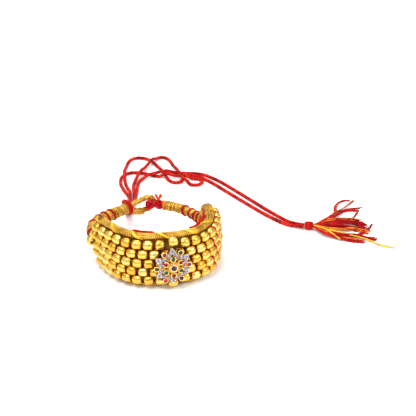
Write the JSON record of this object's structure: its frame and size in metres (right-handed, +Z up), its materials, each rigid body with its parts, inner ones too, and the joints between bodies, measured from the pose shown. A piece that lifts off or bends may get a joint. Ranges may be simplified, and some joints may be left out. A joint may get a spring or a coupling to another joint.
{
  "type": "pochi bracelet",
  "caption": "Open cuff of gold beads on a red cloth lining, with a jewelled flower medallion, and a loop-and-knot closure with long red tie cords that end in a tassel.",
  "frame": {"origin": "middle of the cuff's box, without the tie cords and tassel, on the surface that the cuff stands on", "axes": "+Z up through the wrist opening, -Y out through the medallion, +X to the wearer-side end with the knot; the tie cords lie behind, towards +Y and +X"},
  "size_m": [0.1515, 0.1558, 0.0279],
  "materials": {
    "gold_beads": "polished gold plate",
    "gold_setting": "polished gold plate",
    "gold_thread": "metallic gold thread, closely wound",
    "red_lining": "woven red cloth",
    "dark_red_thread": "dark red silk thread",
    "red_cord": "bright red silk cord",
    "orange_thread": "orange and gold thread",
    "tassel_threads": "loose threads of dark red, orange and gold",
    "white_stone": "cut and polished, clear white",
    "lilac_stone": "cut and polished, lilac",
    "red_stone": "cut and polished, red",
    "pink_stone": "cut and polished, pinkish red",
    "magenta_stone": "cut and polished, magenta",
    "green_stone": "cut and polished, green",
    "dark_green_stone": "cut and polished, dark green",
    "blue_green_stone": "cut and polished, dark blue-green"
  },
  "bodies": {
    "root": {"bead_row_1": "gold_beads", "bead_row_2": "gold_beads", "bead_row_3": "gold_beads", "bead_row_4": "gold_beads", "bead_row_5": "gold_beads", "row_thread_1": "dark_red_thread", "row_thread_2": "dark_red_thread", "row_thread_3": "dark_red_thread", "row_thread_4": "dark_red_thread", "row_thread_5": "dark_red_thread", "lining": "red_lining", "rim": "gold_thread", "band_left": "gold_thread", "band_right": "gold_thread", "stripes_left": "dark_red_thread", "stripes_right": "dark_red_thread", "loop_collar": "dark_red_thread", "loop": "gold_thread", "button_knot": "red_cord", "knot_binding": "orange_thread", "medallion_setting": "gold_setting", "centre_stone": "lilac_stone", "pave_stones": "white_stone", "drop_stone_1": "red_stone", "drop_stone_2": "green_stone", "drop_stone_3": "red_stone", "drop_stone_4": "green_stone", "drop_stone_5": "red_stone", "drop_stone_6": "green_stone", "round_stone_1": "magenta_stone", "round_stone_2": "dark_green_stone", "round_stone_3": "magenta_stone", "round_stone_4": "dark_green_stone", "round_stone_5": "pink_stone", "round_stone_6": "blue_green_stone", "tie_cord_1": "red_cord", "tie_cord_2": "red_cord", "tie_cord_3": "red_cord", "tassel_head": "red_cord", "tassel": "tassel_threads"}
  },
  "joints": []
}
